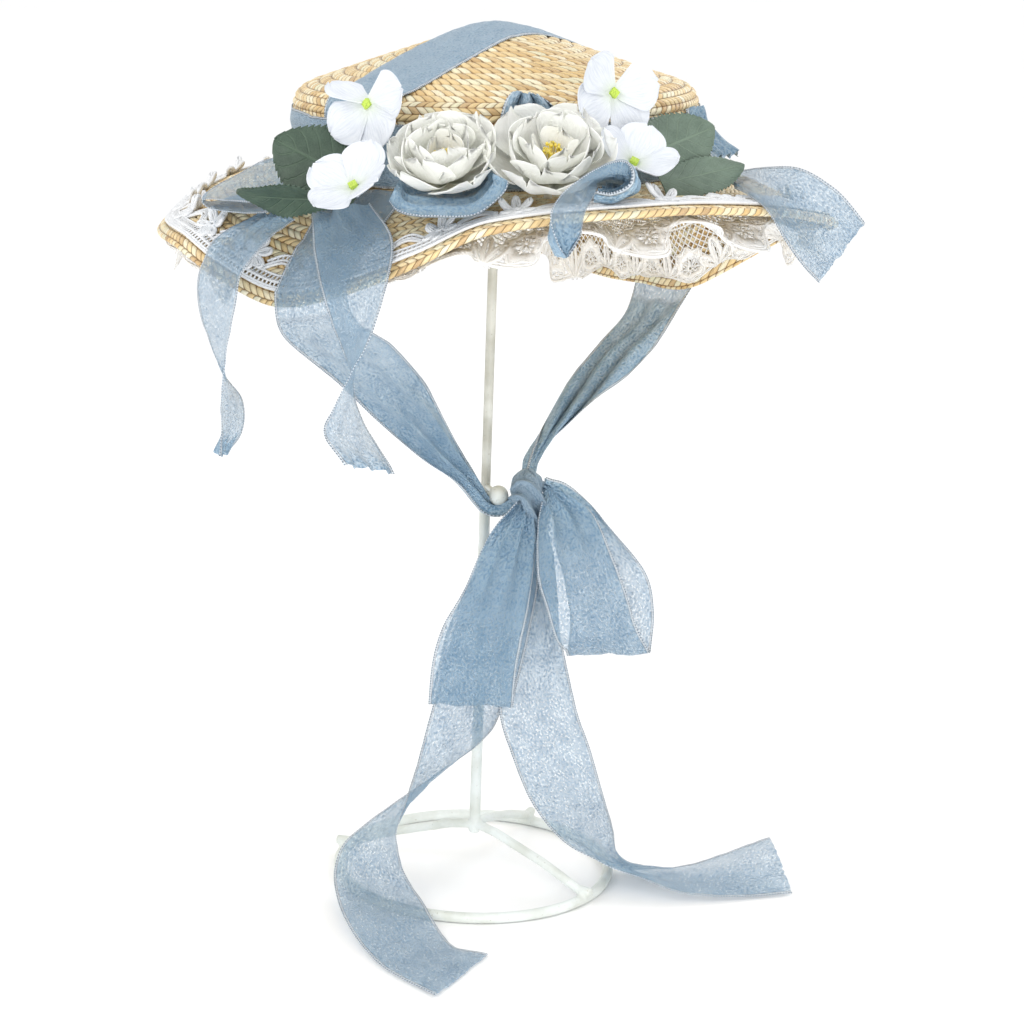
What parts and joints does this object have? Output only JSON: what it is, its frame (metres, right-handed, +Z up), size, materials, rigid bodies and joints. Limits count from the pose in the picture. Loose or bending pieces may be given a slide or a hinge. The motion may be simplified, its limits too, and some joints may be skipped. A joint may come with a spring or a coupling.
{
  "type": "flat straw bonnet on a wire display stand",
  "caption": "Low-crowned straw bonnet with drooping brim, blue ribbon ties and bows, silk flowers and lace trim, held up on a white wire display stand with a round base.",
  "frame": {"origin": "on the floor under the middle of the whole thing's bounding box", "axes": "X to the right as the front is seen, Y away from the front, Z up"},
  "size_m": [0.2984, 0.3278, 0.3923],
  "materials": {
    "white_wire": "matt off-white paint on steel wire",
    "straw_plait": "natural plaited straw, sewn in rows",
    "blue_ribbon": "sheer crinkled grey-blue ribbon with a soft sheen",
    "white_lace": "white guipure lace trim",
    "cream_lace": "off-white wide guipure lace, gathered",
    "white_petal": "white silk petals",
    "cream_petal": "creamy silk petals",
    "green_leaf": "dark green pressed silk leaves"
  },
  "bodies": {
    "root": {"stand_base": "white_wire", "stand_rod": "white_wire", "stand_knob": "white_wire", "straw_crown": "straw_plait", "straw_brim": "straw_plait", "hat_band": "blue_ribbon", "crown_ribbon": "blue_ribbon", "tie_left": "blue_ribbon", "tie_right": "blue_ribbon", "tie_knot": "blue_ribbon", "tie_loop_left": "blue_ribbon", "tie_loop_right": "blue_ribbon", "tie_tail_left": "blue_ribbon", "tie_tail_right": "blue_ribbon", "bow_tail_narrow": "blue_ribbon", "bow_tail_wide": "blue_ribbon", "bow_tail_long": "blue_ribbon", "bow_curl": "blue_ribbon", "bow_loop_left": "blue_ribbon", "bow_loop_front": "blue_ribbon", "ribbon_peak": "blue_ribbon", "ribbon_end": "blue_ribbon", "rim_lace": "white_lace", "under_lace": "cream_lace", "floret_1": "white_petal", "floret_2": "white_petal", "floret_3": "white_petal", "floret_4": "white_petal", "peony_1": "cream_petal", "peony_2": "cream_petal", "leaf_left_upper": "green_leaf", "leaf_left_lower": "green_leaf", "leaf_right_upper": "green_leaf", "leaf_right_lower": "green_leaf"}
  },
  "joints": []
}
